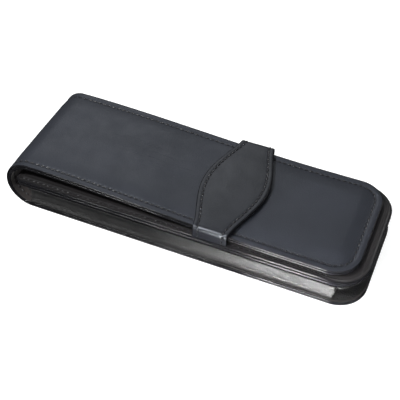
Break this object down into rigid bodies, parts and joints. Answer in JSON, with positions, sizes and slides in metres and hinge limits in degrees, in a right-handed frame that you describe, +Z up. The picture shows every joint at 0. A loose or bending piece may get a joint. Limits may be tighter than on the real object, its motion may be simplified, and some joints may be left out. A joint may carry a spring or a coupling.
{
  "type": "leather pen case",
  "caption": "Flat leather case for pens: a wrap turns over the mouth as a flap and tucks under a barrel-shaped band on a gusseted pocket.",
  "frame": {"origin": "bottom centre of the closed case, on the surface it lies on", "axes": "+X along the case towards its closed end, with the fold and the mouth at -X; +Y across it; +Z up, from the back panel to the flap"},
  "size_m": [0.164, 0.059, 0.0227],
  "materials": {
    "wrap_leather": "smooth black, semi-gloss",
    "gusset_leather": "fine pebbled black, semi-gloss",
    "lining_leather": "matt brown-black",
    "board": "plain greyboard stiffener",
    "pad": "thin felt",
    "thread": "waxed black thread"
  },
  "bodies": {
    "root": {"back_outer": "wrap_leather", "back_board": "board", "back_lining": "lining_leather", "back_thread": "thread", "gusset": "gusset_leather", "divider": "lining_leather", "front_lining": "lining_leather", "front_board": "board", "front_outer": "wrap_leather", "front_thread": "thread", "band_outer": "wrap_leather", "band_lining": "lining_leather", "band_thread_left": "thread", "band_thread_right": "thread"},
    "fold_1": {"fold_outer_1": "wrap_leather", "fold_lining_1": "lining_leather"},
    "fold_2": {"fold_outer_2": "wrap_leather", "fold_lining_2": "lining_leather"},
    "fold_3": {"fold_outer_3": "wrap_leather", "fold_lining_3": "lining_leather"},
    "fold_4": {"fold_outer_4": "wrap_leather", "fold_lining_4": "lining_leather"},
    "fold_5": {"fold_outer_5": "wrap_leather", "fold_lining_5": "lining_leather"},
    "fold_6": {"fold_outer_6": "wrap_leather", "fold_lining_6": "lining_leather"},
    "flap": {"flap_outer": "wrap_leather", "flap_pad": "pad", "flap_lining": "lining_leather", "flap_thread": "thread"}
  },
  "joints": [
    {"name": "flap_open", "type": "hinge", "parent": "root", "child": "fold_1", "pos_m": [-0.07065, 0, 0], "axis": [0, -1, 0], "range_deg": [0, 15], "deforming": ["band_outer", "band_lining", "band_thread_left", "band_thread_right"]},
    {"name": "fold_bend_2", "type": "hinge", "parent": "fold_1", "child": "fold_2", "pos_m": [-0.07633, 0, 0.00152], "axis": [0, -1, 0], "range_deg": [0, 30]},
    {"name": "fold_bend_3", "type": "hinge", "parent": "fold_2", "child": "fold_3", "pos_m": [-0.08048, 0, 0.00568], "axis": [0, -1, 0], "range_deg": [0, 30]},
    {"name": "fold_bend_4", "type": "hinge", "parent": "fold_3", "child": "fold_4", "pos_m": [-0.082, 0, 0.01135], "axis": [0, -1, 0], "range_deg": [0, 30]},
    {"name": "fold_bend_5", "type": "hinge", "parent": "fold_4", "child": "fold_5", "pos_m": [-0.08048, 0, 0.01702], "axis": [0, -1, 0], "range_deg": [0, 30]},
    {"name": "fold_bend_6", "type": "hinge", "parent": "fold_5", "child": "fold_6", "pos_m": [-0.07633, 0, 0.02118], "axis": [0, -1, 0], "range_deg": [0, 30]},
    {"name": "fold_bend_7", "type": "hinge", "parent": "fold_6", "child": "flap", "pos_m": [-0.07065, 0, 0.0227], "axis": [0, -1, 0], "range_deg": [0, 15]}
  ],
  "couplings": [
    {"joint": "fold_bend_2", "follows": "flap_open", "ratio": 2},
    {"joint": "fold_bend_3", "follows": "flap_open", "ratio": 2},
    {"joint": "fold_bend_4", "follows": "flap_open", "ratio": 2},
    {"joint": "fold_bend_5", "follows": "flap_open", "ratio": 2},
    {"joint": "fold_bend_6", "follows": "flap_open", "ratio": 2},
    {"joint": "fold_bend_7", "follows": "flap_open", "ratio": 1}
  ]
}
